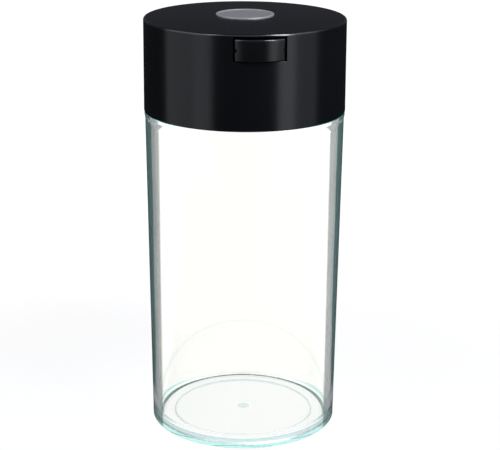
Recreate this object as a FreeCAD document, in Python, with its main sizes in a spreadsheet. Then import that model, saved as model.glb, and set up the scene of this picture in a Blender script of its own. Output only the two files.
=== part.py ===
import FreeCAD, Part
import Sketcher
import math
import os

Vector = FreeCAD.Vector

# Driving dimensions in millimetres: the canister, its neck and the cap that goes over it, then the button and
# the vent valve in the cap's hollow, and the badge on top. The table is z = 0, the button faces -Y.
DIMENSIONS = (
    ("cap_rim_radius", 51.2, "outer radius of the cap at its rim"),
    ("cap_draft", 0.2, "the cap's top inside its rim"),
    ("cap_height", 46.9, "rim to top edge"),
    ("cap_wall", 2.0, "cap round the bore that slides over the neck"),
    ("ledge_width", 2.0, "ledge that the liner is welded to"),
    ("ledge_drop", 1.9, "ledge under the opening for the button"),
    ("plate_thickness", 2.0, "top of the cap"),
    ("crown_rise", 1.3, "crown of the top at its middle"),
    ("cap_edge_fillet", 1.2, "rounding of the cap's top edge"),
    ("shoulder_height", 167.3, "top of the shoulder that the cap rests on"),
    ("flange_inset", 0.2, "the shoulder's edge inside the cap's rim"),
    ("flange_thickness", 1.9, "height of the shoulder's edge"),
    ("shoulder_inset", 0.3, "outer wall, run up to the shoulder, inside its edge"),
    ("waist_radius", 20.0, "radius of the hollow curve under the shoulder"),
    ("waist_blend", 2.0, "blend from the wall into that curve"),
    ("base_taper", 2.15, "outer wall at the table inside the wall at the shoulder"),
    ("bore_taper", 0.9, "inner wall at the floor inside the mouth"),
    ("floor_thickness", 3.2, "top of the floor above the table"),
    ("floor_fillet", 4.2, "inner curve between floor and wall"),
    ("foot_fillet", 0.8, "outer curve at the table"),
    ("foot_width", 8.55, "foot ring round the recess of the underside"),
    ("recess_depth", 0.3, "depth of that recess"),
    ("recess_slope", 3.0, "run of the slope at the recess's edge"),
    ("gate_radius", 3.0, "moulding dimple in the middle of the underside"),
    ("gate_depth", 0.3, "depth of that dimple"),
    ("neck_gap", 0.6, "neck inside the cap's bore"),
    ("neck_wall", 2.5, "wall of the neck"),
    ("neck_clear", 1.1, "neck under the liner"),
    ("lip_fillet", 0.7, "rounding of the neck's mouth"),
    ("small_fillet", 0.4, "rounding of small outer edges"),
    ("groove_depth", 1.3, "depth of the seal groove"),
    ("groove_height", 7.0, "height of the seal groove"),
    ("groove_drop", 3.5, "neck above the seal groove"),
    ("seal_fit", 0.05, "seal to groove"),
    ("seal_gap", 0.15, "seal lips to the cap's bore"),
    ("seal_step", 0.3, "seal between its lips, inside the neck's face"),
    ("window_width", 25.9, "opening for the button"),
    ("window_height", 12.0, "opening for the button"),
    ("window_drop", 1.3, "top edge to the opening"),
    ("window_margin", 3.2, "opening behind the cap's wall"),
    ("rail_half", 0.6, "half height of the guide rails in the opening"),
    ("rail_inset", 0.2, "rails behind the cap's wall"),
    ("rail_setback", 0.7, "rails behind the cap's face"),
    ("liner_gap", 0.15, "liner in the cap's bore"),
    ("liner_thickness", 2.4, "disc that closes the hollow"),
    ("valve_setback", 7.5, "valve axis behind the front of the spring posts"),
    ("vent_radius", 2.0, "vent hole in the liner"),
    ("seat_margin", 0.4, "raised seat round the vent"),
    ("seat_width", 0.8, "raised seat round the vent"),
    ("seat_height", 0.8, "raised seat round the vent"),
    ("button_side_gap", 0.9, "button to the sides of the opening"),
    ("button_top_gap", 1.0, "button to the top of the opening"),
    ("button_lift", 0.3, "gap under the button"),
    ("button_face_radius", 22.7, "bulge of the face in plan"),
    ("button_proud", 2.1, "front of the face before the cap's top edge"),
    ("button_edge_fillet", 0.9, "rounding of the face's edges"),
    ("button_groove_gap", 0.3, "grooves round the rails"),
    ("lug_overlap", 1.25, "stop lugs behind the sides of the opening"),
    ("lug_gap", 0.3, "stop lugs to the cap's wall"),
    ("lug_thickness", 1.5, "stop lugs"),
    ("button_side_wall", 2.85, "button beside its hollow"),
    ("button_wall", 2.0, "button above and under its hollow"),
    ("pocket_depth", 5.2, "depth of the hollow in the button"),
    ("button_travel", 2.2, "stroke of the button and lift of the valve"),
    ("prong_gap", 0.5, "fork prong beside the plunger's collar"),
    ("prong_width", 1.8, "fork prong"),
    ("prong_lift", 1.1, "gap between prong and liner"),
    ("prong_root", 0.6, "prong let into the button"),
    ("prong_drop_start", 0.8, "prong behind the button before it drops"),
    ("prong_drop_run", 2.9, "run of that drop"),
    ("prong_tip_inset", 1.2, "prong tip past the valve axis"),
    ("prong_root_gap", 0.75, "prong above the floor of the button's hollow"),
    ("ramp_gap", 0.14, "upright gap between ramp and wing"),
    ("ramp_spare", 0.34, "ramp beyond the stroke"),
    ("wing_half", 1.5, "half depth of the plunger's wings"),
    ("wing_overhang", 0.2, "wings past the prongs"),
    ("plug_margin", 0.2, "valve plug past its seat"),
    ("plug_thickness", 1.9, "valve plug"),
    ("plug_gap", 0.05, "plug to its seat and hub"),
    ("nose_gap", 0.4, "plug nose in the vent"),
    ("nose_length", 1.4, "plug nose in the vent"),
    ("plug_chamfer", 0.5, "plug edge"),
    ("barb_radius", 1.6, "plunger barb inside the plug"),
    ("barb_height", 0.6, "plunger barb inside the plug"),
    ("barb_neck_radius", 1.1, "plunger under its hub"),
    ("barb_neck_height", 0.9, "plunger under its hub"),
    ("hub_radius", 2.6, "plunger hub"),
    ("hub_height", 4.0, "plunger hub"),
    ("collar_margin", 0.35, "spring collar of the plunger past its spring"),
    ("collar_height", 0.8, "spring collar of the plunger"),
    ("stem_radius", 1.5, "plunger stem in its guide"),
    ("stem_spare", 0.4, "plunger stem under the end of its guide when lifted"),
    ("guide_fit", 0.15, "guide bore round the stem"),
    ("guide_wall", 0.95, "guide boss under the cap's top"),
    ("guide_spare", 0.4, "collar to guide boss when lifted"),
    ("guide_embed", 1.5, "spring seat let into the cap's top"),
    ("seat_pad_margin", 0.85, "spring seat past the valve spring"),
    ("seat_pad_rise", 0.4, "spring seat above the inner edge of the cap's top"),
    ("valve_spring_gap", 0.25, "valve spring round the guide boss"),
    ("valve_wire_radius", 0.25, "spring wire"),
    ("button_spring_gap", 0.3, "button springs round their spigots"),
    ("button_spring_length", 8.7, "button to spring posts"),
    ("button_wire_radius", 0.2, "spring wire"),
    ("spring_gap", 0.05, "spring end to its seat"),
    ("spring_inset", 0.2, "button springs from the hollow of the button"),
    ("post_depth", 2.2, "spring posts"),
    ("post_margin", 0.6, "spring posts past their springs"),
    ("spigot_radius", 1.2, "spigots inside the button springs"),
    ("spigot_length", 2.2, "spigots inside the button springs"),
    ("badge_radius", 14.6, "badge"),
    ("badge_thickness", 0.45, "badge at its field"),
    ("badge_rim_width", 1.3, "raised rim of the badge"),
    ("badge_rim_rise", 0.3, "raised rim of the badge"),
    ("badge_bevel", 0.25, "bevels of the rim"),
    ("badge_recess_gap", 0.4, "recess round the badge"),
    ("badge_recess_depth", 0.5, "recess under the badge, from the crown"),
    ("adhesive_thickness", 0.15, "adhesive under the badge"),
    ("adhesive_inset", 0.4, "adhesive inside the badge's edge"),
    ("overrun", 2.0, "how far cuts run past what they cut"),
)
VALVE_TURNS = 5
BUTTON_TURNS = 7

doc = FreeCAD.newDocument("vacuum_canister")
dims = doc.addObject("Spreadsheet::Sheet", "dims")
for row, (alias, value, note) in enumerate(DIMENSIONS, start=1):
    dims.set(f"A{row}", note)
    dims.set(f"B{row}", str(value))
    dims.setAlias(f"B{row}", alias)
doc.recompute()


class Size:
    """A length that keeps its value together with the sheet formula that it comes from."""

    def __init__(self, value, text):
        self.value = float(value)
        self.text = text

    def __add__(self, other):
        other = as_size(other)
        return Size(self.value + other.value, f"({self.text} + {other.text})")

    def __sub__(self, other):
        other = as_size(other)
        return Size(self.value - other.value, f"({self.text} - {other.text})")

    def __mul__(self, other):
        other = as_size(other)
        return Size(self.value * other.value, f"({self.text} * {other.text})")

    def __truediv__(self, other):
        other = as_size(other)
        return Size(self.value / other.value, f"({self.text} / {other.text})")

    def __neg__(self):
        return Size(-self.value, f"(0 - {self.text})")

    def root(self):
        return Size(math.sqrt(self.value), f"sqrt({self.text})")


def as_size(thing):
    return thing if isinstance(thing, Size) else Size(thing, repr(thing))


class Sheet:
    """The sheet's aliases as sizes."""

    def __init__(self, rows):
        for name, amount, _ in rows:
            setattr(self, name, Size(amount, f"dims.{name}"))


d = Sheet(DIMENSIONS)


def new_body(label):
    body = doc.addObject("PartDesign::Body", label)
    body.Label = label
    return body


def new_sketch(body, name, plane, offset=0):
    """A sketch on one of the body's own planes, moved along that plane's normal."""
    sketch = body.newObject("Sketcher::SketchObject", f"{body.Label}_{name}")
    support = next(item for item in body.Origin.OriginFeatures if item.Role == plane)
    sketch.AttachmentSupport = [(support, "")]
    sketch.MapMode = "FlatFace"
    sketch.setExpression("AttachmentOffset.Base.z", as_size(offset).text)
    return sketch


def drive(sketch, kind, element, point, amount):
    """Holds one coordinate of a sketch point at a size."""
    amount = as_size(amount)
    index = sketch.addConstraint(Sketcher.Constraint(kind, -1, 1, element, point, amount.value))
    sketch.setExpression(f"Constraints[{index}]", amount.text)


def outline(sketch, corners):
    """A closed outline. A corner is (across, up), or (across, up, rule, size, turn) where an arc leaves it:
    rule "radius" or "centre" (its centre's place across), turn 1 for a left turn and -1 for a right one."""
    first = sketch.GeometryCount
    ends = []
    for corner, following in zip(corners, corners[1:] + corners[:1]):
        start = Vector(as_size(corner[0]).value, as_size(corner[1]).value, 0)
        stop = Vector(as_size(following[0]).value, as_size(following[1]).value, 0)
        if len(corner) == 2:
            sketch.addGeometry(Part.LineSegment(start, stop))
            ends.append((1, 2))
            continue
        _, _, rule, size, turn = corner
        chord = stop - start
        left = Vector(-chord.y, chord.x, 0) * (turn / chord.Length)
        if rule == "radius":
            rise = math.sqrt(max(0, as_size(size).value ** 2 - (chord.Length / 2) ** 2))
        else:
            rise = (as_size(size).value - (start.x + stop.x) / 2) / left.x
        centre = (start + stop) / 2 + left * rise
        if turn < 0:
            start, stop = stop, start
        circle = Part.Circle(centre, Vector(0, 0, 1), (start - centre).Length)
        begin = math.atan2(start.y - centre.y, start.x - centre.x)
        finish = math.atan2(stop.y - centre.y, stop.x - centre.x)
        if finish < begin:
            finish += 2 * math.pi
        sketch.addGeometry(Part.ArcOfCircle(circle, begin, finish))
        ends.append((1, 2) if turn > 0 else (2, 1))
    count = len(corners)
    for place in range(count):
        following = (place + 1) % count
        link = (first + place, ends[place][1], first + following, ends[following][0])
        sketch.addConstraint(Sketcher.Constraint("Coincident", *link))
    for place, corner in enumerate(corners):
        drive(sketch, "DistanceX", first + place, ends[place][0], corner[0])
        drive(sketch, "DistanceY", first + place, ends[place][0], corner[1])
        if len(corner) > 2 and corner[2] == "radius":
            index = sketch.addConstraint(Sketcher.Constraint("Radius", first + place, corner[3].value))
            sketch.setExpression(f"Constraints[{index}]", corner[3].text)
        elif len(corner) > 2:
            drive(sketch, "DistanceX", first + place, 3, corner[3])
    return sketch


def disc(sketch, across, up, radius):
    element = sketch.addGeometry(Part.Circle(Vector(as_size(across).value, as_size(up).value, 0),
                                             Vector(0, 0, 1), radius.value))
    index = sketch.addConstraint(Sketcher.Constraint("Radius", element, radius.value))
    sketch.setExpression(f"Constraints[{index}]", radius.text)
    drive(sketch, "DistanceX", element, 3, across)
    drive(sketch, "DistanceY", element, 3, up)
    return sketch


def box(sketch, left, right, low, high):
    return outline(sketch, [(left, low), (right, low), (right, high), (left, high)])


def revolve(body, corners):
    sketch = outline(new_sketch(body, "profile", "XZ_Plane"), corners)
    feature = body.newObject("PartDesign::Revolution", f"{body.Label}_revolution")
    feature.Profile = sketch
    feature.ReferenceAxis = (sketch, ["V_Axis"])
    feature.Angle = 360
    doc.recompute()
    return feature


def extrude(kind, body, name, sketch, length, backwards=False, sides="One side"):
    feature = body.newObject(f"PartDesign::{kind}", f"{body.Label}_{name}")
    feature.Profile = sketch
    feature.SideType = sides
    feature.Reversed = backwards
    feature.setExpression("Length", length.text)
    doc.recompute()
    return feature


def round_off(body, name, base, edges, radius):
    feature = body.newObject("PartDesign::Fillet", f"{body.Label}_{name}")
    feature.Base = (base, edges)
    feature.setExpression("Radius", radius.text)
    doc.recompute()
    return feature


match_share = 1e-4


def same(one, other):
    return math.isclose(one, other, rel_tol=1e-5, abs_tol=match_share * d.cap_rim_radius.value)


def rings(base, *places):
    """Names of the round edges about the axis with these radii and heights."""
    names = []
    for number, edge in enumerate(base.Shape.Edges, start=1):
        if edge.Degenerated or not isinstance(edge.Curve, Part.Circle):
            continue
        for radius, height in places:
            if same(edge.Curve.Radius, radius.value) and same(edge.Curve.Center.z, height.value):
                names.append(f"Edge{number}")
    return names


# Radii that follow from the cap's rim, inwards through the cap, the neck and the canister's wall.
cap_top_radius = d.cap_rim_radius - d.cap_draft
cap_bore_radius = d.cap_rim_radius - d.cap_wall
chamber_radius = cap_bore_radius - d.ledge_width
neck_radius = cap_bore_radius - d.neck_gap
mouth_radius = neck_radius - d.neck_wall
groove_radius = neck_radius - d.groove_depth
flange_radius = d.cap_rim_radius - d.flange_inset
shoulder_radius = flange_radius - d.shoulder_inset
base_radius = shoulder_radius - d.base_taper
bore_base_radius = mouth_radius - d.bore_taper

# Heights that several pieces share, from the cap's top edge down to the neck and up again through the valve.
cap_edge = d.shoulder_height + d.cap_height
plate_under = cap_edge - d.plate_thickness
window_top = cap_edge - d.window_drop
window_bottom = window_top - d.window_height
ledge = window_bottom - d.ledge_drop
neck_top = ledge - d.liner_thickness - d.neck_clear
groove_top = neck_top - d.groove_drop
groove_bottom = groove_top - d.groove_height
button_bottom = window_bottom + d.button_lift
button_height = d.window_height - d.button_lift - d.button_top_gap
button_middle = button_bottom + button_height / 2
seat_top = ledge + d.seat_height
plug_bottom = seat_top + d.plug_gap
plug_top = plug_bottom + d.plug_thickness
hub_bottom = plug_top + d.plug_gap
collar_top = hub_bottom + d.hub_height
wing_middle = collar_top - d.wing_half - d.collar_height
spring_seat = plate_under + d.seat_pad_rise
valve_spring_length = spring_seat - collar_top

# Distances in front of the cap's axis, from the opening in the cap's wall in to the valve.
jamb = d.window_width / 2
lug_half = jamb + d.lug_overlap
button_half = jamb - d.button_side_gap
pocket_half = button_half - d.button_side_wall
wall_at_lug = (chamber_radius * chamber_radius - lug_half * lug_half).root()
lug_reach = wall_at_lug - d.lug_gap
button_back = lug_reach - d.lug_thickness
post_reach = button_back - d.button_spring_length
valve_offset = post_reach - d.valve_setback
button_reach = cap_top_radius + d.button_proud

# Coils and the pieces inside and beside them.
guide_bore_radius = d.stem_radius + d.guide_fit
guide_radius = guide_bore_radius + d.guide_wall
valve_spring_radius = guide_radius + d.valve_spring_gap + d.valve_wire_radius
valve_spring_edge = valve_spring_radius + d.valve_wire_radius
collar_radius = valve_spring_edge + d.collar_margin
button_spring_radius = d.spigot_radius + d.button_spring_gap + d.button_wire_radius
button_spring_edge = button_spring_radius + d.button_wire_radius
spring_offset = pocket_half + button_spring_edge + d.spring_inset
prong_inner = collar_radius + d.prong_gap

# The clear canister: one turned moulding with a tapered wall, a foot ring round a shallow recess, a hollow
# curve under the shoulder and a neck with the seal groove.
canister = new_body("canister_body")
wall_top_share = 0.947
wall_top_radius = base_radius + (shoulder_radius - base_radius) * wall_top_share
wall_top = d.shoulder_height * wall_top_share
flange_bottom = d.shoulder_height - d.flange_thickness
gate_top = d.recess_depth + d.gate_depth
foot_inner = base_radius - d.foot_width
turned = revolve(canister, [
    (0, gate_top),
    (d.gate_radius, gate_top),
    (d.gate_radius + d.gate_depth, d.recess_depth),
    (foot_inner - d.recess_slope, d.recess_depth),
    (foot_inner, 0),
    (base_radius, 0),
    (wall_top_radius, wall_top, "radius", d.waist_radius, -1),
    (flange_radius, flange_bottom),
    (flange_radius, d.shoulder_height),
    (neck_radius, d.shoulder_height),
    (neck_radius, groove_bottom),
    (groove_radius, groove_bottom),
    (groove_radius, groove_top),
    (neck_radius, groove_top),
    (neck_radius, neck_top),
    (mouth_radius, neck_top),
    (bore_base_radius, d.floor_thickness),
    (0, d.floor_thickness),
])
turned = round_off(canister, "floor_curve", turned, rings(turned, (bore_base_radius, d.floor_thickness)),
                   d.floor_fillet)
turned = round_off(canister, "foot_curve", turned, rings(turned, (base_radius, as_size(0))), d.foot_fillet)
turned = round_off(canister, "waist_blend", turned, rings(turned, (wall_top_radius, wall_top)), d.waist_blend)
turned = round_off(canister, "mouth_rounding", turned,
                   rings(turned, (neck_radius, neck_top), (mouth_radius, neck_top)), d.lip_fillet)
round_off(canister, "shoulder_rounding", turned,
          rings(turned, (flange_radius, d.shoulder_height), (flange_radius, flange_bottom),
                (neck_radius, d.shoulder_height)), d.small_fillet)

# The neck seal: a silicone band with three lips that wipe the cap's bore.
seal = new_body("neck_seal")
seal_low = groove_bottom + d.seal_fit
seal_inner = groove_radius + d.seal_fit
seal_back = neck_radius - d.seal_step
seal_lip = cap_bore_radius - d.seal_gap
seal_height = d.groove_height - d.seal_fit * 2
lip_count = 3
lip_profile_shares = ((0.14, seal_back), (0.5, seal_lip), (0.66, seal_lip), (0.86, seal_back))
seal_corners = [(seal_inner, seal_low), (seal_back, seal_low)]
for lip in range(lip_count):
    for share, radius in lip_profile_shares:
        seal_corners.append((radius, seal_low + seal_height * ((lip + share) / lip_count)))
seal_corners += [(seal_back, seal_low + seal_height), (seal_inner, seal_low + seal_height)]
revolve(seal, seal_corners)

# The cap: a deep cup with a crowned top and a ledge for the liner. The opening for the button is cut through
# its front wall and keeps a rail on each side; a guide boss and a spring seat hang under its top.
cap = new_body("cap_shell")
inner_crown = d.crown_rise * (chamber_radius / cap_top_radius) * (chamber_radius / cap_top_radius)
cup = revolve(cap, [
    (cap_bore_radius, d.shoulder_height),
    (d.cap_rim_radius, d.shoulder_height),
    (cap_top_radius, cap_edge, "centre", as_size(0), 1),
    (0, cap_edge + d.crown_rise),
    (0, plate_under + inner_crown, "centre", as_size(0), -1),
    (chamber_radius, plate_under),
    (chamber_radius, ledge),
    (cap_bore_radius, ledge),
])
cup = round_off(cap, "top_rounding", cup, rings(cup, (cap_top_radius, cap_edge)), d.cap_edge_fillet)
round_off(cap, "rim_rounding", cup,
          rings(cup, (d.cap_rim_radius, d.shoulder_height), (cap_bore_radius, d.shoulder_height)),
          d.small_fillet)
badge_floor = cap_edge + d.crown_rise - d.badge_recess_depth
recess_edge = d.badge_radius + d.badge_recess_gap
recess = disc(new_sketch(cap, "badge_recess", "XY_Plane", badge_floor), 0, 0, recess_edge)
extrude("Pocket", cap, "badge_recess_cut", recess, d.overrun, backwards=True)
window_reach = chamber_radius - d.window_margin
window = box(new_sketch(cap, "window", "XZ_Plane", window_reach), -jamb, jamb, window_bottom, window_top)
extrude("Pocket", cap, "window_cut", window, d.cap_rim_radius - window_reach + d.overrun, backwards=True)
rail_reach = (chamber_radius * chamber_radius - jamb * jamb).root() - d.rail_inset
rail_length = (cap_top_radius * cap_top_radius - jamb * jamb).root() - d.rail_setback - rail_reach
rails = new_sketch(cap, "rails", "XZ_Plane", rail_reach)
rail_low = button_middle - d.rail_half
rail_high = button_middle + d.rail_half
outline(rails, [(jamb + d.rail_half, rail_low), (jamb + d.rail_half, rail_high),
                (button_half, rail_high, "centre", button_half, 1), (button_half, rail_low)])
outline(rails, [(-jamb - d.rail_half, rail_high), (-jamb - d.rail_half, rail_low),
                (-button_half, rail_low, "centre", -button_half, 1), (-button_half, rail_high)])
extrude("Pad", cap, "rails_pad", rails, rail_length)
seat_pad_radius = valve_spring_edge + d.seat_pad_margin
seat_pad = disc(new_sketch(cap, "seat_pad", "XY_Plane", spring_seat), 0, -valve_offset, seat_pad_radius)
extrude("Pad", cap, "seat_pad_pad", seat_pad, d.guide_embed)
guide_low = collar_top + d.button_travel + d.guide_spare
guide = disc(new_sketch(cap, "guide", "XY_Plane", guide_low), 0, -valve_offset, guide_radius)
extrude("Pad", cap, "guide_pad", guide, spring_seat - guide_low)
guide_bore = disc(new_sketch(cap, "guide_bore", "XY_Plane", guide_low), 0, -valve_offset, guide_bore_radius)
extrude("Pocket", cap, "guide_bore_cut", guide_bore, spring_seat - guide_low, backwards=True)

# The liner: a disc welded under the ledge, with the vent and its raised seat, and two posts that hold the inner
# ends of the button springs on spigots.
liner = new_body("cap_liner")
liner_radius = cap_bore_radius - d.liner_gap
revolve(liner, [
    (0, ledge - d.liner_thickness),
    (liner_radius, ledge - d.liner_thickness),
    (liner_radius, ledge),
    (0, ledge),
])
seat_radius = d.vent_radius + d.seat_margin + d.seat_width
seat = disc(new_sketch(liner, "seat", "XY_Plane", ledge), 0, -valve_offset, seat_radius)
disc(seat, 0, -valve_offset, d.vent_radius + d.seat_margin)
extrude("Pad", liner, "seat_pad", seat, d.seat_height)
vent = disc(new_sketch(liner, "vent", "XY_Plane", ledge), 0, -valve_offset, d.vent_radius)
extrude("Pocket", liner, "vent_cut", vent, d.liner_thickness + d.overrun)
post_half = button_spring_edge + d.post_margin
posts = new_sketch(liner, "posts", "XY_Plane", ledge)
for side in (-1, 1):
    middle = spring_offset * side
    box(posts, middle - post_half, middle + post_half, -post_reach, d.post_depth - post_reach)
extrude("Pad", liner, "posts_pad", posts, button_middle + post_half - ledge)
spigots = new_sketch(liner, "spigots", "XZ_Plane", post_reach)
for side in (-1, 1):
    disc(spigots, spring_offset * side, button_middle, d.spigot_radius)
extrude("Pad", liner, "spigots_pad", spigots, d.spigot_length)

# The button: a bulged face with rounded edges, grooves for the rails, lugs that stop behind the cap's wall, a
# hollow back, and a fork whose two ramps slide under the plunger's wings.
button = new_body("press_button")
face_end = button_reach - d.button_face_radius + \
    (d.button_face_radius * d.button_face_radius - button_half * button_half).root()
plan = outline(new_sketch(button, "plan", "XY_Plane", button_bottom), [
    (-button_half, -face_end, "radius", d.button_face_radius, 1),
    (button_half, -face_end),
    (button_half, -lug_reach),
    (lug_half, -lug_reach),
    (lug_half, -button_back),
    (-lug_half, -button_back),
    (-lug_half, -lug_reach),
    (-button_half, -lug_reach),
])
block = extrude("Pad", button, "block", plan, button_height)
face_edges = []
for number, edge in enumerate(block.Shape.Edges, start=1):
    curved = isinstance(edge.Curve, Part.Circle) and same(edge.Curve.Radius, d.button_face_radius.value)
    upright = same(edge.BoundBox.YMin, -face_end.value) and same(edge.BoundBox.YMax, -face_end.value)
    if curved or upright:
        face_edges.append(f"Edge{number}")
round_off(button, "face_rounding", block, face_edges, d.button_edge_fillet)
hollow_half = button_height / 2 - d.button_wall
hollow = box(new_sketch(button, "hollow", "XZ_Plane", button_back), -pocket_half, pocket_half,
             button_middle - hollow_half, button_middle + hollow_half)
extrude("Pocket", button, "hollow_cut", hollow, d.pocket_depth, backwards=True)
grooves = new_sketch(button, "grooves", "XZ_Plane", lug_reach)
for side in (-1, 1):
    disc(grooves, button_half * side, button_middle, d.rail_half + d.button_groove_gap)
extrude("Pocket", button, "grooves_cut", grooves, button_reach - lug_reach + d.overrun, backwards=True)
ramp_middle = wing_middle - d.ramp_gap
ramp_back = valve_offset + d.wing_half + d.button_travel + d.ramp_spare
ramp_top = ramp_middle + d.wing_half + d.button_travel + d.ramp_spare
prong_bottom = ledge + d.prong_lift
prong_root_bottom = button_middle - hollow_half + d.prong_root_gap
prong_root = button_back + d.pocket_depth + d.prong_root
prong_drop = button_back - d.prong_drop_start
prong_tip = valve_offset - d.prong_tip_inset
for side, start in (("right", prong_inner), ("left", -prong_inner - d.prong_width)):
    prong = outline(new_sketch(button, f"prong_{side}", "YZ_Plane", start), [
        (-prong_root, prong_root_bottom),
        (-prong_drop, prong_root_bottom),
        (d.prong_drop_run - prong_drop, prong_bottom),
        (-prong_tip, prong_bottom),
        (-prong_tip, ramp_middle - d.prong_tip_inset),
        (-ramp_back, ramp_top),
        (-prong_root, ramp_top),
    ])
    extrude("Pad", button, f"prong_{side}_pad", prong, d.prong_width)
button_spigots = new_sketch(button, "spigots", "XZ_Plane", button_back)
for side in (-1, 1):
    disc(button_spigots, spring_offset * side, button_middle, d.spigot_radius)
extrude("Pad", button, "spigots_pad", button_spigots, d.spigot_length, backwards=True)

# The plunger: stem, spring collar, hub and a barb for the plug, with two wings whose undersides slope with the
# fork's ramps. It is drawn about its own axis and placed on the valve's.
plunger = new_body("valve_plunger")
barb_top = hub_bottom - d.barb_neck_height
barb_bottom = barb_top - d.barb_height
stem_top = spring_seat - d.button_travel - d.stem_spare
revolve(plunger, [
    (0, barb_bottom),
    (d.barb_radius, barb_bottom),
    (d.barb_radius, barb_top),
    (d.barb_neck_radius, barb_top),
    (d.barb_neck_radius, hub_bottom),
    (d.hub_radius, hub_bottom),
    (d.hub_radius, collar_top - d.collar_height),
    (collar_radius, collar_top - d.collar_height),
    (collar_radius, collar_top),
    (d.stem_radius, collar_top),
    (d.stem_radius, stem_top),
    (0, stem_top),
])
wing_reach = prong_inner + d.prong_width + d.wing_overhang
wings = outline(new_sketch(plunger, "wings", "YZ_Plane"), [
    (-d.wing_half, wing_middle + d.wing_half),
    (d.wing_half, wing_middle - d.wing_half),
    (d.wing_half, collar_top),
    (-d.wing_half, collar_top),
])
extrude("Pad", plunger, "wings_pad", wings, wing_reach * 2, sides="Symmetric")
plunger.setExpression("Placement.Base.y", (-valve_offset).text)

# The plug: a silicone button on the plunger's barb, with a nose in the vent.
plug = new_body("valve_plug")
nose_bottom = plug_bottom - d.nose_length
nose_radius = d.vent_radius - d.nose_gap
plug_radius = seat_radius + d.plug_margin
revolve(plug, [
    (0, nose_bottom),
    (nose_radius - d.plug_chamfer, nose_bottom),
    (nose_radius, nose_bottom + d.plug_chamfer),
    (nose_radius, plug_bottom),
    (plug_radius, plug_bottom),
    (plug_radius, plug_top - d.plug_chamfer),
    (plug_radius - d.plug_chamfer, plug_top),
    (d.barb_neck_radius + d.plug_gap, plug_top),
    (d.barb_neck_radius + d.plug_gap, barb_top + d.plug_gap),
    (d.barb_radius + d.plug_gap, barb_top + d.plug_gap),
    (d.barb_radius + d.plug_gap, barb_bottom - d.plug_gap),
    (0, barb_bottom - d.plug_gap),
])
plug.setExpression("Placement.Base.y", (-valve_offset).text)


def coil(label, mean_radius, wire_radius, length, turns, place):
    """A wound spring as one tube along +Z from the origin, on two arcs for each quarter turn."""
    low = wire_radius.value + d.spring_gap.value
    climb = length.value - 2 * low
    steps = turns * 4
    radius = mean_radius.value

    def point(step):
        angle = step * math.pi / 2
        return Vector(radius * math.cos(angle), radius * math.sin(angle), low + climb * step / steps)

    def heading(step):
        angle = step * math.pi / 2
        course = Vector(-math.sin(angle), math.cos(angle), 0) * (radius * math.pi / 2)
        return (course + Vector(0, 0, climb / steps)).normalize()

    def arc(start, knee, stop):
        middle = (start + stop) / 2
        reach = knee - middle
        half_chord = (stop - start).Length / 2
        sag = half_chord * math.tan(math.atan2(reach.Length, half_chord) / 2)
        return Part.Arc(start, middle + reach * (sag / reach.Length), stop).toShape()

    edges = []
    for step in range(steps):
        start, stop = point(step), point(step + 1)
        out, back = heading(step), heading(step + 1)
        chord, both = stop - start, out + back
        square = both.dot(both) - 4
        slope = chord.dot(both)
        reach = (slope - math.sqrt(slope * slope - square * chord.dot(chord))) / square
        if reach < 0:
            reach = (slope + math.sqrt(slope * slope - square * chord.dot(chord))) / square
        knee_out, knee_back = start + out * reach, stop - back * reach
        joint = (knee_out + knee_back) / 2
        edges += [arc(start, knee_out, joint), arc(joint, knee_back, stop)]
    section = Part.Wire(Part.Circle(point(0), heading(0), wire_radius.value).toShape())
    sweep = Part.BRepOffsetAPI.MakePipeShell(Part.Wire(edges))
    sweep.add(section)
    sweep.build()
    sweep.makeSolid()
    points = [place_on for edge in edges for place_on in edge.discretize(5)[:-1]]
    per_turn = len(points) // turns
    nearest = min(points[one].distanceToPoint(points[other])
                  for one in range(len(points))
                  for other in range(one + per_turn // 2, len(points)))
    print(label, "least gap to itself", round(nearest - 2 * wire_radius.value, 3))
    feature = doc.addObject("Part::Feature", label)
    feature.Label = label
    feature.Shape = sweep.shape()
    feature.Placement = place
    return feature


# The springs: one between the plunger's collar and the cap's top, two between the posts and the button's lugs.
coil("valve_spring", valve_spring_radius, d.valve_wire_radius, valve_spring_length, VALVE_TURNS,
     FreeCAD.Placement(Vector(0, -valve_offset.value, collar_top.value), FreeCAD.Rotation()))
for side, label in ((-1, "button_spring_left"), (1, "button_spring_right")):
    along_front = FreeCAD.Rotation(Vector(0, 0, 1), Vector(0, -1, 0))
    foot = Vector(side * spring_offset.value, -post_reach.value, button_middle.value)
    coil(label, button_spring_radius, d.button_wire_radius, d.button_spring_length, BUTTON_TURNS,
         FreeCAD.Placement(foot, along_front))

# The badge: a pressed disc with a raised rim, on an adhesive disc in the crown's recess.
adhesive = doc.addObject("Part::Cylinder", "badge_adhesive")
adhesive.Label = "badge_adhesive"
adhesive.setExpression("Radius", (d.badge_radius - d.adhesive_inset).text)
adhesive.setExpression("Height", d.adhesive_thickness.text)
adhesive.setExpression("Placement.Base.z", badge_floor.text)
badge = new_body("badge_plate")
badge_bottom = badge_floor + d.adhesive_thickness
field_top = badge_bottom + d.badge_thickness
rim_top = field_top + d.badge_rim_rise
revolve(badge, [
    (0, badge_bottom),
    (d.badge_radius, badge_bottom),
    (d.badge_radius, rim_top - d.badge_bevel),
    (d.badge_radius - d.badge_bevel, rim_top),
    (d.badge_radius - d.badge_rim_width, rim_top),
    (d.badge_radius - d.badge_rim_width - d.badge_bevel, field_top),
    (0, field_top),
])
doc.recompute()

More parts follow.
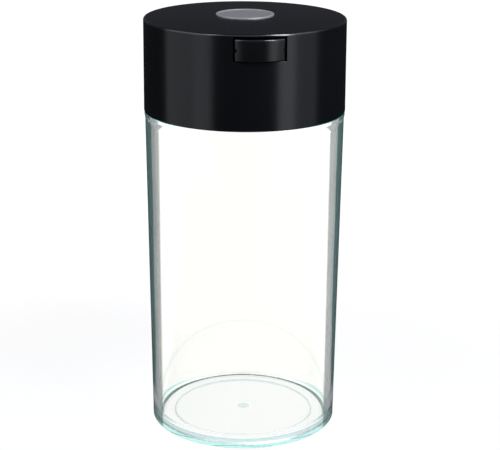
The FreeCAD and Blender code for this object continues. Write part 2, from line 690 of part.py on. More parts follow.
# Every object is checked before any file is written.
NODES = ("canister_body", "neck_seal", "cap_shell", "cap_liner", "press_button", "valve_plunger", "valve_plug",
         "valve_spring", "button_spring_left", "button_spring_right", "badge_plate", "badge_adhesive")
for item in doc.Objects:
    if "Invalid" in item.State or "Error" in item.State:
        raise RuntimeError(f"{item.Label} did not build: {item.State}")
pieces = {}
for node in NODES:
    shape = doc.getObjectsByLabel(node)[0].Shape
    if shape.isNull() or not shape.isValid() or len(shape.Solids) != 1:
        raise RuntimeError(f"{node} is not one valid solid")
    pieces[node] = shape
os.makedirs("parts", exist_ok=True)
for node, shape in pieces.items():
    shape.exportStep(f"parts/{node}.step")
    print(node, "volume", round(shape.Volume, 1), "area", round(shape.Area, 1))
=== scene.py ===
import bmesh
import bpy
import math
from mathutils import Matrix, Vector


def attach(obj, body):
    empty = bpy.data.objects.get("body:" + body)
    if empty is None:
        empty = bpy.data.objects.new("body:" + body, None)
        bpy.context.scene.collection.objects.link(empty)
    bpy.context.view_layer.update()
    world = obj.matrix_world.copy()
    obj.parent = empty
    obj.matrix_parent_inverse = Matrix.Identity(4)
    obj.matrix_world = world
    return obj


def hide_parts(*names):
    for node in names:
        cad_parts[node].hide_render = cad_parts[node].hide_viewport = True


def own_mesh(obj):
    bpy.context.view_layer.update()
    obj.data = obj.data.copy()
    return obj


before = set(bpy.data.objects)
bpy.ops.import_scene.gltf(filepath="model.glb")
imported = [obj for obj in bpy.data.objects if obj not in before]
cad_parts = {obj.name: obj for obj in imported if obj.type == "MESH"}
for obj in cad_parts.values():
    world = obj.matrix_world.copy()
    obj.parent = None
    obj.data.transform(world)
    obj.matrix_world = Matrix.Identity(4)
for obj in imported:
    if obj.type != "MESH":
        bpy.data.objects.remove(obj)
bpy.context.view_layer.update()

# The canister: one injection moulding in clear styrene plastic, aqua where light is led along inside it.
# It has a hollow curve under the shoulder, a neck with a groove for the seal, and a foot ring round a recess
# with a satin step and a gate dimple. Lengths are in millimetres.
mm = 0.001


class Wire:
    """An output in a node tree. Sums and products with it become Math nodes."""

    def __init__(self, tree, socket=None):
        self.tree = tree
        self.socket = socket

    def node(self, kind, settings, sockets, outlet=0):
        """Adds a node: its settings first, then the values or links of its sockets."""
        made = self.tree.nodes.new(kind)
        for name, value in settings.items():
            setattr(made, name, value)
        for name, value in sockets.items():
            if isinstance(value, Wire):
                self.tree.links.new(value.socket, made.inputs[name])
            else:
                made.inputs[name].default_value = value
        return Wire(self.tree, made.outputs[outlet] if made.outputs else None)

    def math(self, operation, first, second=0.0):
        return self.node("ShaderNodeMath", {"operation": operation}, {0: first, 1: second})

    def __add__(self, other):
        return self.math("ADD", self, other)

    def __radd__(self, other):
        return self.math("ADD", other, self)

    def __sub__(self, other):
        return self.math("SUBTRACT", self, other)

    def __rsub__(self, other):
        return self.math("SUBTRACT", other, self)

    def __mul__(self, other):
        return self.math("MULTIPLY", self, other)

    def __rmul__(self, other):
        return self.math("MULTIPLY", other, self)

    def __truediv__(self, other):
        return self.math("DIVIDE", self, other)


def new_finish(name):
    """An empty material, its tree, and the place on the object in metres."""
    material = bpy.data.materials.new(name)
    material.use_nodes = True
    material.node_tree.nodes.clear()
    tree = Wire(material.node_tree)
    return material, tree, tree.node("ShaderNodeTexCoord", {}, {}, "Object")


def end_finish(tree, sockets, **more):
    """Ends a material with a Principled surface."""
    surface = tree.node("ShaderNodeBsdfPrincipled", {}, sockets)
    tree.node("ShaderNodeOutputMaterial", {}, {"Surface": surface, **more})


def vector_math(operation, first, second, outlet="Vector"):
    return first.node("ShaderNodeVectorMath", {"operation": operation}, {0: first, 1: second}, outlet)


def flattened(where):
    """A place with its height taken out."""
    return vector_math("MULTIPLY", where, (1, 1, 0))


def off_axis(where):
    """The distance from the upright axis."""
    return vector_math("DISTANCE", flattened(where), (0, 0, 0), "Value")


def height_of(where):
    return where.node("ShaderNodeSeparateXYZ", {}, {"Vector": where}, "Z")


def grain(where, scale, detail=2.0, roughness=0.5):
    sockets = {"Vector": where, "Scale": scale, "Detail": detail, "Roughness": roughness}
    return where.node("ShaderNodeTexNoise", {}, sockets, "Fac")


def fade(amount, low, high):
    """A soft step from 0 at low to 1 at high."""
    sockets = {"Value": amount, "From Min": low, "From Max": high}
    return amount.node("ShaderNodeMapRange", {"interpolation_type": "SMOOTHSTEP"}, sockets)


def blend(mask, first, second):
    return mask.node("ShaderNodeMix", {"data_type": "RGBA"}, {0: mask, 6: first, 7: second}, 2)


def relief(height, distance, strength=1.0):
    sockets = {"Strength": strength, "Distance": distance, "Height": height}
    return height.node("ShaderNodeBump", {}, sockets, "Normal")


def softened(corners, arc_step=9, run_step=8, short_run=1, guard=0.12):
    """Points of an outline. A corner (across, up, rounding) becomes an arc, cut every arc_step degrees.

    Longer runs are divided, with a guard point near each end that keeps the shading flat along the run."""
    drawn = []
    for number, (across, up, rounding) in enumerate(corners):
        here = Vector((across, up))
        if not rounding:
            drawn.append(here)
            continue
        before = (Vector(corners[number - 1][:2]) - here).normalized()
        after = (Vector(corners[(number + 1) % len(corners)][:2]) - here).normalized()
        half = math.acos(max(-1, min(1, before.dot(after)))) / 2
        centre = here + (before + after).normalized() * (rounding / math.sin(half))
        start = here + before * (rounding / math.tan(half)) - centre
        sweep = math.pi - 2 * half
        if before.x * after.y - before.y * after.x > 0:
            sweep = -sweep
        steps = max(3, round(math.degrees(abs(sweep)) / arc_step))
        for step in range(steps + 1):
            drawn.append(centre + Matrix.Rotation(sweep * step / steps, 2) @ start)
    divided = []
    for start, stop in zip(drawn, drawn[1:]):
        divided.append(start)
        run = (stop - start).length
        if run > short_run:
            count = math.ceil(run / run_step)
            shares = [guard / run] + [step / count for step in range(1, count)] + [1 - guard / run]
            divided += [start.lerp(stop, share) for share in shares]
    return divided + drawn[-1:]


def quilt(grid, first, second, columns, skipped=0):
    """Joins two rings of vertices by faces, from a column on. A ring of one vertex is a pole."""
    for number in range(skipped, columns):
        following = (number + 1) % columns
        corners = [first[number % len(first)], first[following % len(first)],
                   second[following % len(second)], second[number % len(second)]]
        unique = list(dict.fromkeys(corners))
        if len(unique) > 2:
            grid.faces.new(unique)


# A ring with a smaller radius than this is a single point on the axis.
pole_radius = 1e-6


def turn(grid, outline, around=288, centre=(0, 0), closed=False):
    """Turns an outline about an upright axis into a mesh."""
    rings = []
    for across, up in outline:
        count = around if across > pole_radius else 1
        angles = [2 * math.pi * number / around for number in range(count)]
        rings.append([grid.verts.new(((centre[0] + across * math.sin(angle)) * mm,
                                      (centre[1] - across * math.cos(angle)) * mm, up * mm))
                      for angle in angles])
    for low, high in zip(rings, rings[1:] + rings[:1] * closed):
        quilt(grid, low, high, around)


def make(name, grid):
    """An object in the scene, of a mesh that is used up."""
    bmesh.ops.recalc_face_normals(grid, faces=grid.faces)
    data = bpy.data.meshes.new(name)
    grid.to_mesh(data)
    grid.free()
    made = bpy.data.objects.new(name, data)
    bpy.context.scene.collection.objects.link(made)
    return made


def place(name, grid, finish, body, slot, *nodes, sharp=38):
    """An object, smooth up to an angle, that rides on a body in place of CAD nodes."""
    made = make(name, grid)
    made.data.shade_smooth()
    made.data.set_sharp_from_angle(angle=math.radians(sharp))
    made.data.materials.append(finish)
    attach(made, body)
    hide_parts(*nodes)
    return made


# The hollow under the shoulder is an arc from the wall's top to the shoulder.
wall_top, shoulder, waist_radius, waist_steps = Vector((50.624, 161.4)), Vector((51.0, 165.4)), 12.0, 10
waist_chord = shoulder - wall_top
waist_rise = math.sqrt(waist_radius ** 2 - waist_chord.length_squared / 4)
waist_outward = Vector((waist_chord.y, -waist_chord.x)).normalized()
waist_centre = (wall_top + shoulder) / 2 + waist_outward * waist_rise
waist_start = wall_top - waist_centre
waist_sweep = 2 * math.asin(waist_chord.length / 2 / waist_radius)
waist = [waist_centre + Matrix.Rotation(-waist_sweep * step / waist_steps, 2) @ waist_start
         for step in range(2, waist_steps)]

foot_radius, recess_up, step_inner, step_outer = 48.55, 1.5, 36.5, 37.0
dimple_up, dimple_inner, dimple_outer = 1.8, 3.0, 3.3
floor_up, floor_radius, mouth_up, mouth_radius = 3.2, 45.2, 195.5, 46.1
rim, neck_radius, groove_radius, groove_low, groove_high = 167.3, 48.6, 47.3, 185.0, 192.0
canister_outline = softened([
    (0, dimple_up, 0), (dimple_inner, dimple_up, 0.1), (dimple_outer, recess_up, 0.1),
    (step_inner, recess_up, 0), (step_outer, 0, 0), (foot_radius, 0, 0.3),
    (*wall_top, 2.0), *((*spot, 0) for spot in waist), (*shoulder, 0.4),
    (shoulder.x, rim, 0.4), (neck_radius, rim, 0.4),
    (neck_radius, groove_low, 0.15), (groove_radius, groove_low, 0.15),
    (groove_radius, groove_high, 0.15), (neck_radius, groove_high, 0.15),
    (neck_radius, mouth_up, 0.7), (mouth_radius, mouth_up, 0.7),
    (floor_radius, floor_up, 4.2), (0, floor_up, 0),
])
clear, tree, where = new_finish("clear_plastic")
ripple = grain(where, 24, 1.0)
smudge = fade(grain(where, 38, 3.0), 0.55, 0.75)
reach = off_axis(where)
up = height_of(where)
gate = 1 - fade(reach, (dimple_inner - 0.3) * mm, (dimple_inner + 0.1) * mm)
gate = gate * (1 - fade(up, (dimple_up + 0.5) * mm, (dimple_up + 0.8) * mm))
satin = fade(reach, (step_inner - 0.7) * mm, (step_inner - 0.2) * mm)
satin = satin * (1 - fade(reach, (step_outer + 0.1) * mm, (step_outer + 0.6) * mm))
satin = satin * fade(up, 0.02 * mm, 0.1 * mm) * (1 - fade(up, (recess_up + 0.3) * mm, (recess_up + 0.7) * mm))
tint = blend(smudge, (0.990, 0.994, 0.978, 1), (0.984, 0.990, 0.972, 1))
tint = blend(gate, tint, (0.62, 0.86, 0.86, 1))
tint = blend(satin, tint, (0.60, 0.78, 0.82, 1))
# Painted shade: where the outer wall is seen at a slant its tint turns grey, which paints the dark strips
# along the clear wall's edges; the limit rises from the shoulder to the foot.
facing = tree.node("ShaderNodeLayerWeight", {}, {}, "Facing")
limit_per_metre = 0.55
slant_shade = fade(facing + limit_per_metre * up, 0.588, 0.626) * fade(reach, 46.6 * mm, 47.4 * mm)
tint = blend(slant_shade, tint, (0.18, 0.190, 0.195, 1))
depth = tree.node("ShaderNodeVolumeAbsorption", {}, {"Color": (0.10, 0.90, 0.86, 1), "Density": 7.0})
end_finish(tree, {
    "Base Color": tint, "Roughness": 0.004 + 0.02 * smudge + 0.25 * gate + 0.45 * satin,
    "IOR": 1.57, "Transmission Weight": 1.0, "Normal": relief(ripple, 0.6 * mm, 0.25)}, Volume=depth)
grid = bmesh.new()
turn(grid, canister_outline, 384)
canister = place("clear_canister", grid, clear, "canister", "clear_plastic", "canister_body", sharp=60)
# Its shadow would be as dark as that of an opaque piece.
canister.visible_shadow = False
# Light that is led round inside the foot ring is reflected dozens of times before it leaves.
cycles = bpy.context.scene.cycles
cycles.max_bounces = 80
cycles.glossy_bounces = cycles.transmission_bounces = 72

# The neck seal: a moulded band of grey silicone, stretched over the neck into its groove.
# Three lips on it wipe the cap's bore and hold the vacuum.
seal_gap, seal_back, seal_lip, lips = 0.05, 48.3, 49.05, 3
seal_inner, seal_low, seal_high = groove_radius + seal_gap, groove_low + seal_gap, groove_high - seal_gap
lip_pitch = (seal_high - seal_low) / lips
lip_shape = ((0.14, seal_back), (0.5, seal_lip), (0.66, seal_lip), (0.86, seal_back))
seal_corners = [(seal_inner, seal_low, 0.1), (seal_back, seal_low, 0.15)]
for lip in range(lips):
    seal_corners += [(across, seal_low + lip_pitch * (lip + share), 0.1) for share, across in lip_shape]
seal_corners += [(seal_back, seal_high, 0.15), (seal_inner, seal_high, 0.1)]
silicone, tree, where = new_finish("grey_silicone")
bloom = grain(where, 120, 4.0)
specks = fade(grain(where, 2400, 1.0), 0.70, 0.76)
tint = blend(bloom, (0.44, 0.46, 0.47, 1), (0.58, 0.60, 0.61, 1))
tint = blend(specks * 0.5, tint, (0.85, 0.85, 0.84, 1))
end_finish(tree, {
    "Base Color": tint, "Roughness": 0.48 + 0.22 * bloom, "Subsurface Weight": 0.15,
    "Normal": relief(grain(where, 1800, 2.0), 0.04 * mm)})
grid = bmesh.new()
turn(grid, softened(seal_corners), closed=True)
place("lip_seal", grid, silicone, "canister", "silicone_seal", "neck_seal")

# The liner: a black moulded disc welded under the ledge inside the cap. It closes the hollow of the button
# and carries the vent's seat and two posts for the button springs; faint rings from its mould show underneath.
liner, tree, where = new_finish("liner_black")
radians_per_metre = 5200.0
reach = off_axis(where)
tool_marks = reach.math("SINE", reach * radians_per_metre)
mottle = grain(where, 90, 4.0)
end_finish(tree, {
    "Base Color": blend(mottle, (0.014, 0.014, 0.016, 1), (0.024, 0.024, 0.027, 1)),
    "Roughness": 0.42 + 0.16 * mottle,
    "Normal": relief(tool_marks * 0.3 + grain(where, 2600, 2.0), 0.03 * mm)})


def dress(node, finish):
    """Gives a finish to a CAD solid that is shown as it is."""
    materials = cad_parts[node].data.materials
    materials.clear()
    materials.append(finish)


dress("cap_liner", liner)

# The vent valve: a natural acetal plunger with a silicone plug on its barb. The plug closes the vent, and the
# button's fork lifts the plunger by its two wings.
acetal, tree, where = new_finish("natural_acetal")
flow = grain(where, 260, 3.0)
end_finish(tree, {
    "Base Color": blend(flow, (0.70, 0.69, 0.64, 1), (0.80, 0.79, 0.75, 1)),
    "Roughness": 0.30 + 0.18 * flow, "Normal": relief(grain(where, 5200, 2.0), 0.02 * mm)})
dress("valve_plunger", acetal)
plug, tree, where = new_finish("black_silicone")
bloom = grain(where, 700, 4.0)
end_finish(tree, {
    "Base Color": blend(bloom, (0.07, 0.07, 0.07, 1), (0.13, 0.13, 0.13, 1)),
    "Roughness": 0.55 + 0.25 * bloom, "Normal": relief(grain(where, 6400, 2.0), 0.03 * mm)})
dress("valve_plug", plug)

# The springs: drawn steel wire wound into coils. One stands between the plunger's collar and the cap's top,
# and two lie between the liner's posts and the button's lugs; each is wound here at one fixed length.
steel, tree, where = new_finish("spring_steel")
drawn = grain(where, 9000, 2.0)
heat = grain(where, 420, 2.0)
end_finish(tree, {
    "Base Color": blend(heat, (0.50, 0.50, 0.51, 1), (0.62, 0.60, 0.57, 1)),
    "Metallic": 1.0, "Roughness": 0.22 + 0.2 * drawn, "Normal": relief(drawn, 0.008 * mm)})


def wind(name, coil_radius, wire_radius, length, turns, settle, node, per_turn=40, sides=12, end_gap=0.05):
    """One wound wire along +Z from the origin, then moved into place by a matrix in millimetres."""
    grid = bmesh.new()
    low = wire_radius + end_gap
    climb = length - 2 * low
    slope = climb / turns / (2 * math.pi * coil_radius)
    steps = turns * per_turn
    hoops = []
    for step in range(steps + 1):
        angle = 2 * math.pi * step / per_turn
        outward = Vector((math.cos(angle), math.sin(angle), 0))
        along = Vector((-math.sin(angle), math.cos(angle), slope)).normalized()
        upward = outward.cross(along)
        middle = outward * coil_radius + Vector((0, 0, low + climb * step / steps))
        hoop = []
        for side in range(sides):
            round_wire = 2 * math.pi * side / sides
            spot = middle + (outward * math.cos(round_wire) + upward * math.sin(round_wire)) * wire_radius
            hoop.append(grid.verts.new(settle @ spot * mm))
        hoops.append(hoop)
    for low_hoop, high_hoop in zip(hoops, hoops[1:]):
        quilt(grid, low_hoop, high_hoop, sides)
    grid.faces.new(hoops[0])
    grid.faces.new(hoops[-1])
    return place(name, grid, steel, "cap", "spring_steel", node)


valve_axis, collar_up, valve_length = (0, -27.0135), 205.8, 6.8
valve_foot = Matrix.Translation((*valve_axis, collar_up))
valve_coil = wind("valve_coil", coil_radius=3.1, wire_radius=0.25, length=valve_length, turns=5,
                  settle=valve_foot, node="valve_spring")
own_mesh(valve_coil)
post_face, spring_across, button_middle, return_length = -34.5135, 11.3, 206.55, 8.7
for label, side in (("left", -1), ("right", 1)):
    post = (side * spring_across, post_face, button_middle)
    lay = Matrix.Translation(post) @ Matrix.Rotation(math.pi / 2, 4, "X")
    coil = wind(f"button_coil_{label}", coil_radius=1.7, wire_radius=0.2, length=return_length, turns=7,
                settle=lay, node=f"button_spring_{label}")
    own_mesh(coil)

# The push button: a black moulding with a bulged, thumb-polished face in the cap's window. Rails in the
# window run in its side grooves, lugs stop it behind the wall, and a fork on its back lifts the valve.
button_half, button_low, button_high = 12.05, 201.2, 211.9
face_radius, face_front, face_rounding, face_steps = 22.7, 53.1, 0.9, 24
lug_half, lug_reach, button_back = 14.2, 44.7135, 43.2135
grid = bmesh.new()
bulge = math.asin(button_half / face_radius)
face_angles = [bulge * step / face_steps for step in range(-face_steps, face_steps + 1)]
plan = [(face_radius * math.sin(angle), face_front - face_radius * (1 - math.cos(angle)))
        for angle in face_angles]
plan += [(button_half, lug_reach), (lug_half, lug_reach), (lug_half, button_back)]
plan += [(-lug_half, button_back), (-lug_half, lug_reach), (-button_half, lug_reach)]
floor_loop, roof_loop = ([grid.verts.new((across * mm, -ahead * mm, up * mm)) for across, ahead in plan]
                         for up in (button_low, button_high))
grid.faces.new(floor_loop)
grid.faces.new(roof_loop)
quilt(grid, floor_loop, roof_loop, len(plan))
bmesh.ops.recalc_face_normals(grid, faces=grid.faces)
far_side = 2 * face_steps
face_verts = set(floor_loop[:far_side + 1] + roof_loop[:far_side + 1])
uprights = ({floor_loop[0], roof_loop[0]}, {floor_loop[far_side], roof_loop[far_side]})
levels = {vert: "low" for vert in floor_loop} | {vert: "high" for vert in roof_loop}
face_edges = [edge for edge in grid.edges if set(edge.verts) <= face_verts
              and (levels[edge.verts[0]] == levels[edge.verts[1]] or set(edge.verts) in uprights)]
bmesh.ops.bevel(grid, geom=face_edges, offset=face_rounding * mm, segments=7, profile=0.5, affect="EDGES",
                clamp_overlap=True)


def bar(grid, corners, start, stop, shape):
    """A closed bar: corners (a, b) drawn out from start to stop, set in space by shape(a, b, along)."""
    first, second = ([grid.verts.new(Vector(shape(a, b, along)) * mm) for a, b in corners]
                     for along in (start, stop))
    grid.faces.new(first)
    grid.faces.new(second)
    quilt(grid, first, second, len(corners))


def circle(across, up, radius, count=32):
    angles = [2 * math.pi * number / count for number in range(count)]
    return [(across + radius * math.cos(angle), up + radius * math.sin(angle)) for angle in angles]


def towards_front(across, up, ahead):
    return across, -ahead, up


def towards_side(ahead, up, across):
    return across, -ahead, up


block = make("button_block", grid)
cuts = bmesh.new()
hollow_half, hollow_up, hollow_floor, side_groove, overcut = 9.2, 3.35, 48.4135, 0.9, 2
for side in (-1, 1):
    groove = circle(side * button_half, button_middle, side_groove)
    bar(cuts, groove, lug_reach, face_front + overcut, towards_front)
hollow = [(across * hollow_half, button_middle + up * hollow_up)
          for across, up in ((-1, -1), (1, -1), (1, 1), (-1, 1))]
bar(cuts, hollow, button_back - overcut, hollow_floor, towards_front)
cutter = make("button_cuts", cuts)
cutting = block.modifiers.new("cuts", "BOOLEAN")
cutting.operation = "DIFFERENCE"
cutting.solver = "EXACT"
cutting.object = cutter
cut_block = bpy.data.meshes.new_from_object(block.evaluated_get(bpy.context.evaluated_depsgraph_get()))
for made in (block, cutter):
    bpy.data.objects.remove(made)
grid = bmesh.new()
grid.from_mesh(cut_block)
fork = [(49.0135, 203.95), (42.4135, 203.95), (39.5135, 200.1), (25.8135, 200.1), (25.8135, 202.16),
        (31.0535, 207.4), (49.0135, 207.4)]
fork_inner, fork_outer, peg_radius, peg_root, peg_length = 4.475, 6.275, 1.2, 0.2, 2.2
for side in (-1, 1):
    bar(grid, fork, side * fork_inner, side * fork_outer, towards_side)
    peg = circle(side * spring_across, button_middle, peg_radius)
    bar(grid, peg, button_back + peg_root, button_back - peg_length, towards_front)
button_black, tree, where = new_finish("button_black")
upright_place = vector_math("MULTIPLY", where, (1, 0, 1))
thumb_spot = vector_math("DISTANCE", upright_place, (0, 0, button_middle * mm), "Value")
polish = 1 - fade(thumb_spot, 3 * mm, 11.5 * mm)
mottle = grain(where, 300, 4.0)
fine = grain(where, 5200, 2.0)
end_finish(tree, {
    "Base Color": blend(mottle, (0.0036, 0.0037, 0.0043, 1), (0.0052, 0.0053, 0.0061, 1)),
    "Roughness": 0.21 + 0.08 * mottle - 0.05 * polish,
    "Coat Weight": fade(height_of(where), (button_high - 1.0) * mm, (button_high - 0.5) * mm),
    "Coat Roughness": 0.12, "Coat IOR": 1.6, "Normal": relief(fine, 0.025 * mm)})
place("push_button", grid, button_black, "button", "button_black", "press_button")

# The cap: a deep black cup moulded with a satin skin, crowned on top, that slides down over the neck.
# The window for the button is cut through its front wall, with a rail on each side.
rim_radius, top_radius, bore_radius, chamber_radius = 51.2, 51.0, 49.2, 47.2
ledge, window_low, window_high, crown_up, crown_drop = 199.0, 200.9, 212.9, 215.5, 1.3
edge_up = crown_up - crown_drop
jamb, recess_radius, recess_floor, window_rounding = 12.95, 15.0, 215.0, 0.25


def crown(across):
    return crown_up - crown_drop * (across / top_radius) ** 2


def wall_at(up):
    return rim_radius + (top_radius - rim_radius) * (up - rim) / (edge_up - rim)


top_outline = softened([(0, recess_floor, 0), (recess_radius, recess_floor, 0.1),
                        (recess_radius, crown(recess_radius), 0.2),
                        *((across, crown(across), 0) for across in (20, 26, 32, 38, 44, 48)),
                        (top_radius, edge_up, 1.2), (wall_at(window_high), window_high, 0)])
skirt_outline = softened([(wall_at(window_low), window_low, 0),
                          (rim_radius, rim, 0.4), (bore_radius, rim, 0.4),
                          (bore_radius, ledge, 0.2), (chamber_radius, ledge, 0.2),
                          (chamber_radius, window_low, 0)])
roof_outline = [(chamber_radius, window_high), (38, 213.34), (24, 213.75), (0, 214.0)]
window_columns, wall_columns, fan_radius = 36, 300, 40


def column_angles(across):
    """Angles of the mesh columns at a radius; those at the window's sides lie on its two upright planes.

    Inside fan_radius the columns run straight to the axis."""
    across = max(across, fan_radius)
    side = math.asin(jamb / across)
    front = [math.asin(jamb * (2 * number / window_columns - 1) / across) for number in range(window_columns)]
    return front + [side + (2 * math.pi - 2 * side) * number / wall_columns for number in range(wall_columns)]


grid = bmesh.new()
hoops = []
for across, up in [*top_outline, *skirt_outline, *roof_outline]:
    angles = column_angles(across) if across > pole_radius else [0]
    hoops.append([grid.verts.new((across * math.sin(angle) * mm, -across * math.cos(angle) * mm, up * mm))
                  for angle in angles])
outer_low = len(top_outline)
inner_high = outer_low + len(skirt_outline)
outer_high, inner_low = outer_low - 1, inner_high - 1
for row, (upper, lower) in enumerate(zip(hoops, hoops[1:])):
    opening = window_columns if row in (outer_high, inner_low) else 0
    quilt(grid, upper, lower, window_columns + wall_columns, opening)
for outer, inner in ((hoops[outer_high], hoops[inner_high]), (hoops[outer_low], hoops[inner_low])):
    for number in range(window_columns):
        grid.faces.new((outer[number], outer[number + 1], inner[number + 1], inner[number]))
for number in (0, window_columns):
    grid.faces.new([hoops[row][number] for row in (outer_high, outer_low, inner_low, inner_high)])
bmesh.ops.recalc_face_normals(grid, faces=grid.faces)
frame_verts = set(hoops[outer_high][:window_columns + 1] + hoops[outer_low][:window_columns + 1])
window_edges = [edge for edge in grid.edges if set(edge.verts) <= frame_verts]
bmesh.ops.bevel(grid, geom=window_edges, offset=window_rounding * mm, segments=3, profile=0.5, affect="EDGES",
                clamp_overlap=True)
rail_half, rail_root, rail_back, rail_front, tip_steps = 0.6, 0.6, 45.19, 48.63, 12
for side in (-1, 1):
    tip_angles = [math.pi * step / tip_steps for step in range(tip_steps + 1)]
    tip = [(side * (button_half - rail_half * math.sin(angle)), button_middle - rail_half * math.cos(angle))
           for angle in tip_angles]
    root = side * (jamb + rail_root)
    rail = [(root, button_middle - rail_half), *tip, (root, button_middle + rail_half)]
    bar(grid, rail, rail_back, rail_front, towards_front)
guide = [(1.65, 208.4), (2.6, 208.4), (2.6, 212.6), (4.2, 212.6), (4.2, 214.1), (1.65, 214.1)]
turn(grid, guide, 48, valve_axis, closed=True)
cap_black, tree, where = new_finish("cap_black")
mottle = grain(where, 46, 4.0)
fine = grain(where, 3600, 2.0)
spread = grain(where, 700, 3.0)
handled = fade(grain(where, 26, 2.0), 0.48, 0.72)
on_edge = fade(height_of(where), (edge_up - 1.4) * mm, (edge_up - 0.7) * mm)
on_edge = on_edge * fade(off_axis(where), (top_radius - 1.4) * mm, (top_radius - 0.8) * mm)
scuffs = on_edge * fade(grain(where, 420, 4.0, 0.65), 0.55, 0.70)
black = blend(mottle, (0.0032, 0.0035, 0.0041, 1), (0.0046, 0.0049, 0.0058, 1))
end_finish(tree, {
    "Base Color": blend(scuffs * 0.4, black, (0.020, 0.020, 0.023, 1)),
    "Roughness": 0.18 + 0.04 * spread + 0.03 * handled + 0.08 * scuffs,
    "Coat Weight": on_edge * (1 - 0.6 * scuffs), "Coat Roughness": 0.12, "Coat IOR": 1.6,
    "Normal": relief(fine * 0.7 + spread * 0.3, 0.012 * mm)})
place("black_cap", grid, cap_black, "cap", "cap_black", "cap_shell")

# The badge: a pressed aluminium disc with a raised rim and a spun field, left bare, in a recess of the crown.
# A thin disc of foam adhesive holds it.
badge_radius, badge_low, field_up, raised_up, raised_width = 14.6, 215.15, 215.6, 215.9, 1.3
field_radius = badge_radius - raised_width - 0.25
badge_outline = softened([
    (0, badge_low, 0), (badge_radius, badge_low, 0.1), (badge_radius, raised_up, 0.24),
    (badge_radius - raised_width, raised_up, 0.2), (field_radius, field_up, 0.15), (0, field_up, 0)])
silver, tree, where = new_finish("badge_silver")
spun_scale = 6000.0
reach = off_axis(where)
spun = grain(tree.node("ShaderNodeCombineXYZ", {}, {"X": reach * spun_scale}), 1.0, 3.0, 0.7)
on_rim = fade(reach, (field_radius - 0.1) * mm, (field_radius + 0.05) * mm)
mottle = grain(where, 500, 4.0)
field = blend(spun, (0.355, 0.355, 0.351, 1), (0.455, 0.455, 0.450, 1))
raised = blend(mottle, (0.50, 0.503, 0.51, 1), (0.56, 0.56, 0.567, 1))
end_finish(tree, {
    "Base Color": blend(on_rim, field, raised), "Metallic": 0.45,
    "Roughness": 0.36 + 0.14 * spun - 0.08 * on_rim,
    "Normal": relief(spun * (1 - on_rim) + mottle * 0.2, 0.03 * mm)})
grid = bmesh.new()
turn(grid, badge_outline, 192)
place("round_badge", grid, silver, "cap", "badge_silver", "badge_plate")
foam, tree, where = new_finish("foam_adhesive")
cells = where.node("ShaderNodeTexVoronoi", {}, {"Vector": where, "Scale": 2600.0}, "Distance")
end_finish(tree, {
    "Base Color": blend(cells, (0.70, 0.70, 0.67, 1), (0.86, 0.86, 0.84, 1)),
    "Roughness": 0.7 + 0.2 * cells, "Normal": relief(cells, 0.06 * mm)})
dress("badge_adhesive", foam)

# The table: a plain white paper sweep under the canister, with a soft shadow cast by the pieces other than the
# canister and a painted shade within the canister's footprint. Its glow depends on the kind of
# ray: white to the camera and through the plastic, dim in gloss, and dark to rays that were reflected inside
# the wall, which gives the clear wall its dark outer strips.
# The camera stands this many degrees to the left of the button and looks along the heading.
camera_side = 8.5
heading = Vector((math.sin(math.radians(camera_side)), math.cos(math.radians(camera_side)), 0))
sideways = Vector((heading.y, -heading.x, 0))


def ray(tree, kind):
    return tree.node("ShaderNodeLightPath", {}, {}, kind)


def studio(tree, flat_place, near, camera_level, shade_level, gloss_level):
    """The glow of the sweep or the room at a place, by the kind of ray that sees it."""
    direct = ray(tree, "Is Camera Ray")
    through = ray(tree, "Is Transmission Ray")
    mirrored = ray(tree, "Is Glossy Ray") * (1 - through)
    lighting = (1 - direct) * (1 - through) * (1 - mirrored)
    # A folded ray entered the wall, was reflected inside it and left it again, without crossing the interior.
    folded = fade(ray(tree, "Glossy Depth"), 0.2, 0.8) * (1 - fade(ray(tree, "Transmission Depth"), 2.2, 2.8))
    ahead = vector_math("DOT_PRODUCT", flat_place, heading, "Value")
    across = vector_math("DOT_PRODUCT", flat_place, sideways, "Value")
    to_right = fade(across, -0.01, 0.01)
    aside = across.math("ABSOLUTE", across)
    # How far a place lies outside the line of the inner wall, as a slope from the canister.
    inner_wall, least_ahead = 0.046, 0.03
    beside = (aside - inner_wall) / ahead.math("MAXIMUM", ahead, least_ahead)
    # The sweep stays bright to folded rays near the foot and straight behind the canister.
    bright = 1 - (1 - near) * fade(aside, 0.028, 0.044)
    dark = folded * (1 - bright) * (1 - fade(beside, 0.64, 0.74)) * fade(ahead, -0.02, 0.02)
    straight_level = 1.09 + 0.22 * fade(beside, 0.05, 0.22)
    strip_level = 0.96 + 0.31 * to_right
    foot_level = 1.12
    folded_level = strip_level * (1 - bright) + foot_level * bright
    dark_share = 0.58 + 0.06 * to_right
    seen = (straight_level * (1 - folded) + folded * folded_level) * (1 - dark_share * dark)
    strength = direct * camera_level + through * seen + mirrored * gloss_level + lighting * shade_level
    room_colour = blend(direct, (0.92, 0.96, 1.10, 1), (1, 1, 1, 1))
    wall_colour = blend(dark, (1.045, 0.99, 0.985, 1), (0.64, 1.0, 0.96, 1))
    colour = blend(through, room_colour, wall_colour)
    return colour.node("ShaderNodeVectorMath", {"operation": "SCALE"}, {0: colour, "Scale": strength})


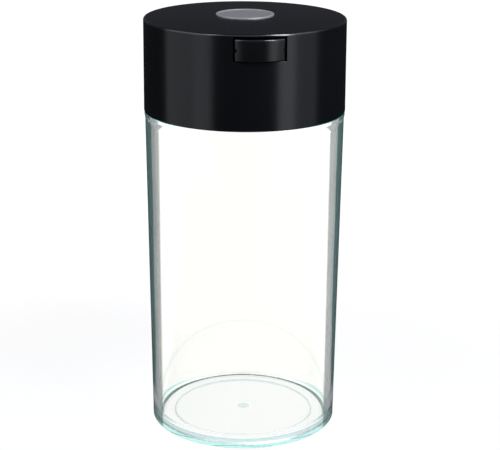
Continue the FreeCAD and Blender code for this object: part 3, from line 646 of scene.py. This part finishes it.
sweep, tree, where = new_finish("white_sweep")
reach = off_axis(where)
near = 1 - fade(reach, 0.059, 0.076)
# Painted shade: the paper within the canister's footprint is darker and bluer, and is seen only through the
# plastic.
footprint_shade = blend(1 - fade(reach, 0.036, 0.050), (1, 1, 1, 1), (0.905, 0.935, 0.960, 1))
paper_level = 0.865 + 0.135 * fade(reach, 0.12, 0.42)
light = studio(tree, flattened(where), near, paper_level, shade_level=0.45, gloss_level=0.012)
glow = tree.node("ShaderNodeEmission", {}, {"Color": vector_math("MULTIPLY", light, footprint_shade)})
tooth = blend(grain(where, 900, 3.0), (0.15, 0.15, 0.15, 1), (0.17, 0.17, 0.17, 1))
paper = tree.node("ShaderNodeBsdfDiffuse", {}, {"Color": tooth})
both = tree.node("ShaderNodeAddShader", {}, {0: glow, 1: paper})
shown = tree.node("ShaderNodeMixShader", {}, {0: ray(tree, "Is Camera Ray"), 1: glow, 2: both})
tree.node("ShaderNodeOutputMaterial", {}, {"Surface": shown})
sweep_half, sweep_gap = 4.0, 0.0002
grid = bmesh.new()
bmesh.ops.create_grid(grid, x_segments=8, y_segments=8, size=sweep_half)
table = make("white_sweep", grid)
table.data.materials.append(sweep)
table.location.z = -sweep_gap

# The studio: a white room behind the sweep. Panels and strips on both sides run down the cap as dull streaks,
# overhead panels light its top, and softboxes pick out the edges of the cap and the button.
world = bpy.data.worlds.new("studio")
bpy.context.scene.world = world
world.use_nodes = True
world.node_tree.nodes.clear()
tree = Wire(world.node_tree)
where = tree.node("ShaderNodeTexCoord", {}, {}, "Generated")
light = studio(tree, flattened(where), near=1.0, camera_level=1.0, shade_level=0.30, gloss_level=0.05)
room = tree.node("ShaderNodeBackground", {}, {"Color": light})
tree.node("ShaderNodeOutputWorld", {}, {"Surface": room})


def lamp(name, angles, heights, distance, radiance):
    """An upright soft panel between two angles, to the right of the camera's side, and two heights."""
    (first, last), (low, high) = angles, heights
    side = math.radians((first + last) / 2 - camera_side)
    made = bpy.data.lights.new(name, "AREA")
    made.shape = "RECTANGLE"
    made.size = 2 * distance * math.tan(math.radians(last - first) / 2)
    made.size_y = high - low
    made.energy = radiance * math.pi * made.size * made.size_y
    made.color = (0.945, 0.96, 1.04)
    panel = bpy.data.objects.new(name, made)
    bpy.context.scene.collection.objects.link(panel)
    inward = Vector((-math.sin(side), math.cos(side), 0))
    panel.location = inward * -distance + Vector((0, 0, (low + high) / 2))
    panel.rotation_euler = inward.to_track_quat("-Z", "Y").to_euler()
    panel.visible_camera = False
    panel.visible_transmission = False


panel_ring, strip_ring, far_ring = 0.46, 0.47, 0.75
panel_heights, strip_heights = (0.003, 0.60), (0.003, 0.45)
side_heights, box_heights = (0.50, 1.5), (0.75, 1.6)
lamp("panel_left", (-94.3, -35), panel_heights, panel_ring, 0.54)
lamp("panel_right", (36, 84), panel_heights, panel_ring, 0.40)
lamp("strip_left", (-55.4, -35), strip_heights, strip_ring, 0.20)
lamp("strip_right", (36, 55.4), strip_heights, strip_ring, 0.75)
lamp("overhead", (-62, 62), (0.62, 1.5), far_ring, 0.45)
lamp("overhead_left", (-106, -58), side_heights, far_ring, 0.36)
lamp("overhead_right", (58, 104), side_heights, far_ring, 0.55)
lamp("softbox_left", (-51, -37), box_heights, far_ring, 2.9)
lamp("softbox_right", (38, 56), box_heights, far_ring, 14.0)
lamp("softbox_low", (43, 51), (0.36, 0.75), far_ring, 13.0)

# The camera: a long lens that looks down on the canister from above the cap, a little to the left of the
# button. It is rolled by a fraction of a degree.
pitch, roll = math.radians(17.53), 0.0064
camera_back, camera_right, camera_up = 0.7295, 0.00313, 0.3353
forward = heading * math.cos(pitch) - Vector((0, 0, math.sin(pitch)))
upward = heading * math.sin(pitch) + Vector((0, 0, math.cos(pitch)))
right = sideways * math.cos(roll) + upward * math.sin(roll)
over = upward * math.cos(roll) - sideways * math.sin(roll)
lens = bpy.data.cameras.new("camera")
lens.sensor_width = 36
lens.lens = 105.31
lens.clip_end = 20
camera = bpy.data.objects.new("camera", lens)
bpy.context.scene.collection.objects.link(camera)
stand = heading * -camera_back + sideways * camera_right + Vector((0, 0, camera_up))
camera.matrix_world = Matrix((
    (right.x, over.x, -forward.x, stand.x),
    (right.y, over.y, -forward.y, stand.y),
    (right.z, over.z, -forward.z, stand.z),
    (0, 0, 0, 1)))
bpy.context.scene.camera = camera
bpy.context.scene.view_settings.view_transform = "Standard"
